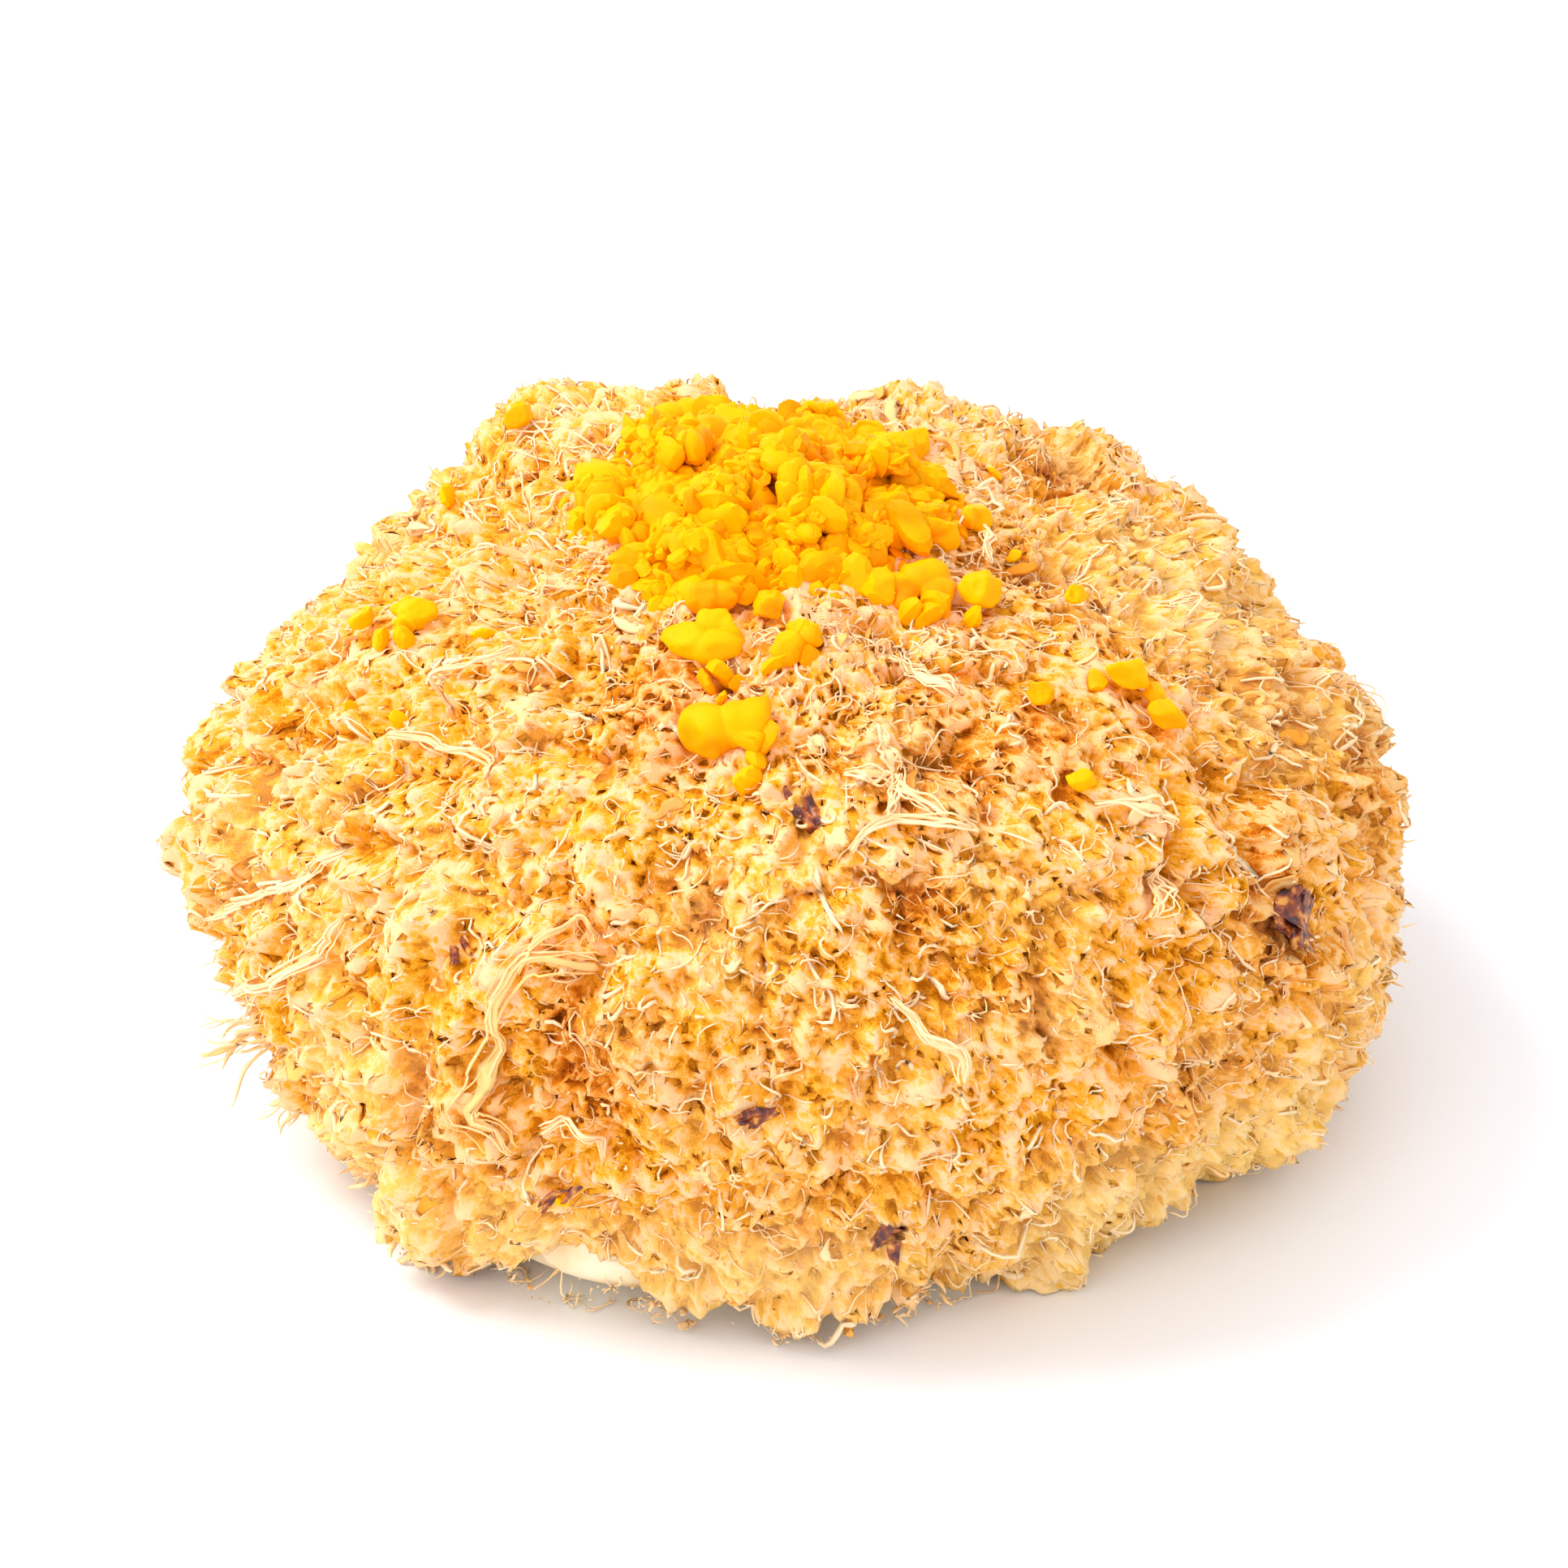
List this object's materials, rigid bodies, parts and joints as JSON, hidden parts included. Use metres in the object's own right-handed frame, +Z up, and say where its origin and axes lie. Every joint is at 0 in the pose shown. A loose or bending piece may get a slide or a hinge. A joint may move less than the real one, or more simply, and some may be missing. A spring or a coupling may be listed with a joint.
{
  "type": "bread roll",
  "caption": "Low round bread roll wrapped in a thick mat of shredded floss, with a heap of crumbled egg yolk on top and a small flat underside to rest on.",
  "frame": {"origin": "on the resting surface, under the middle of the roll's box", "axes": "+Z up, square to the flat underside; -Y to the side where single yolk crumbs have rolled down; +X to the right seen from that side"},
  "size_m": [0.0998, 0.098, 0.055],
  "materials": {
    "dough": "matte",
    "floss": "matte",
    "yolk": "satin",
    "toasted": "satin"
  },
  "bodies": {
    "root": {"bun": "dough", "floss_coat": "floss", "yolk_crumb_01": "yolk", "yolk_crumb_02": "yolk", "yolk_crumb_03": "yolk", "yolk_crumb_04": "yolk", "yolk_crumb_05": "yolk", "yolk_crumb_06": "yolk", "yolk_crumb_07": "yolk", "yolk_crumb_08": "yolk", "yolk_crumb_09": "yolk", "yolk_crumb_10": "yolk", "yolk_crumb_11": "yolk", "yolk_crumb_12": "yolk", "yolk_crumb_13": "yolk", "yolk_crumb_14": "yolk", "yolk_crumb_15": "yolk", "yolk_crumb_16": "yolk", "yolk_crumb_17": "yolk", "yolk_crumb_18": "yolk", "yolk_crumb_19": "yolk", "yolk_crumb_20": "yolk", "yolk_crumb_21": "yolk", "yolk_crumb_22": "yolk", "yolk_crumb_23": "yolk", "yolk_crumb_24": "yolk", "yolk_crumb_25": "yolk", "yolk_crumb_26": "yolk", "yolk_crumb_27": "yolk", "yolk_crumb_28": "yolk", "yolk_crumb_29": "yolk", "yolk_crumb_30": "yolk", "yolk_crumb_31": "yolk", "yolk_crumb_32": "yolk", "yolk_crumb_33": "yolk", "yolk_crumb_34": "yolk", "yolk_crumb_35": "yolk", "yolk_crumb_36": "yolk", "yolk_crumb_37": "yolk", "yolk_crumb_38": "yolk", "yolk_crumb_39": "yolk", "yolk_crumb_40": "yolk", "yolk_crumb_41": "yolk", "yolk_crumb_42": "yolk", "yolk_crumb_43": "yolk", "yolk_crumb_44": "yolk", "yolk_crumb_45": "yolk", "yolk_crumb_46": "yolk", "yolk_crumb_47": "yolk", "yolk_crumb_48": "yolk", "yolk_crumb_49": "yolk", "yolk_crumb_50": "yolk", "yolk_crumb_51": "yolk", "toasted_flake_01": "toasted", "toasted_flake_02": "toasted", "toasted_flake_03": "toasted", "toasted_flake_04": "toasted", "toasted_flake_05": "toasted", "toasted_flake_06": "toasted"}
  },
  "joints": []
}
